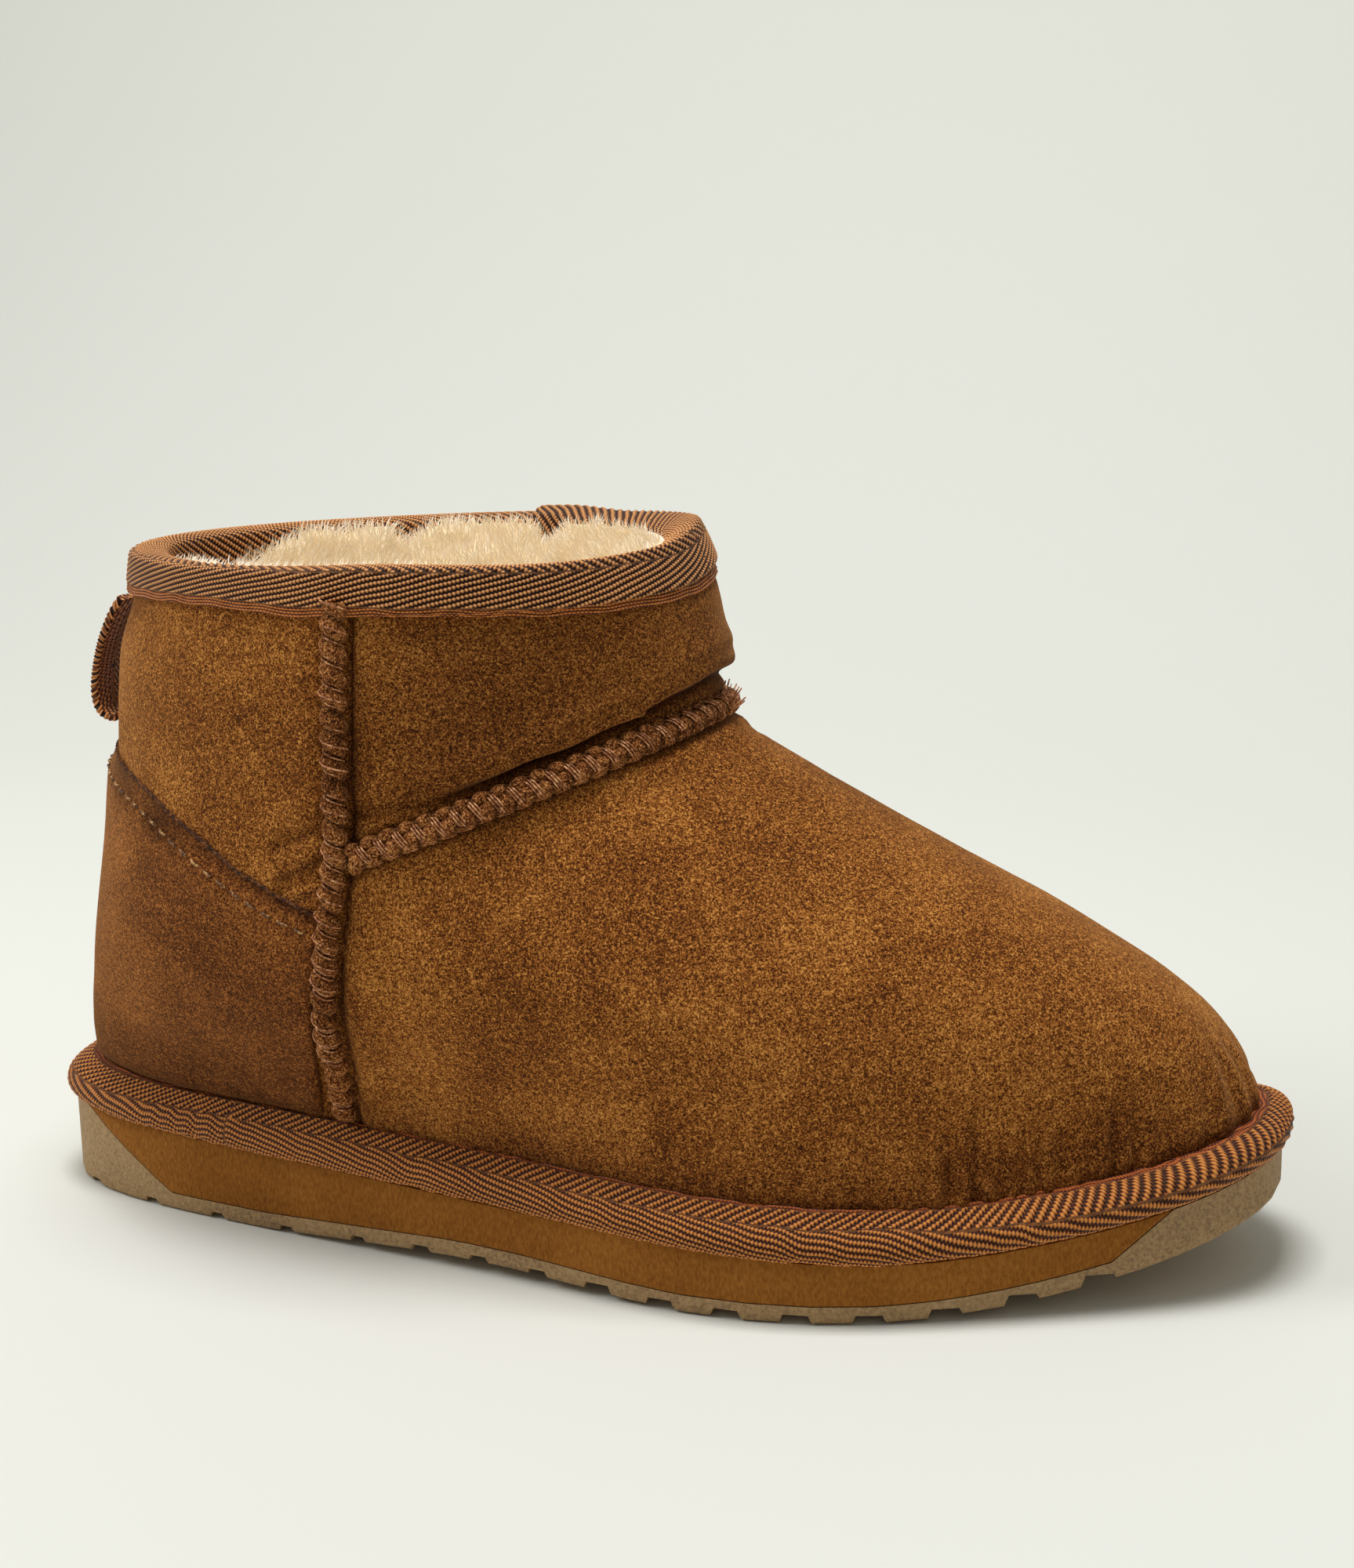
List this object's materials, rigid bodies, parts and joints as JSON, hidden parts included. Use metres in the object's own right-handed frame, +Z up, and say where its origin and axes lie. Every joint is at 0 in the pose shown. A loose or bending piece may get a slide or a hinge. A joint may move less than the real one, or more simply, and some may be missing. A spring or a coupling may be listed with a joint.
{
  "type": "sheepskin boot",
  "caption": "Ankle-high sheepskin boot with fleece lining, bound collar, whipped seams, wedge midsole and lugged outsole",
  "frame": {"origin": "the middle of the boot's box in plan, on the floor that the sole stands on", "axes": "+X to the toe, +Y to the medial (inner) side, +Z up the shaft"},
  "size_m": [0.2722, 0.1044, 0.1492],
  "materials": {
    "outsole_rubber": "moulded taupe rubber, matt",
    "midsole_foam": "ochre foam, fine matt skin",
    "fleece": "cream sheep's wool, dense and short",
    "suede": "chestnut suede nap, brushed",
    "binding_tape": "rust-brown herringbone tape",
    "seam_cord": "suede bead whipped with tan and dark thread"
  },
  "bodies": {
    "root": {"outsole": "outsole_rubber", "midsole": "midsole_foam", "insole": "fleece", "upper": "suede", "heel_counter": "suede", "welt_binding": "binding_tape", "collar_binding": "binding_tape", "side_seam_lateral": "seam_cord", "side_seam_medial": "seam_cord", "vamp_seam": "seam_cord", "pull_loop": "binding_tape"}
  },
  "joints": []
}
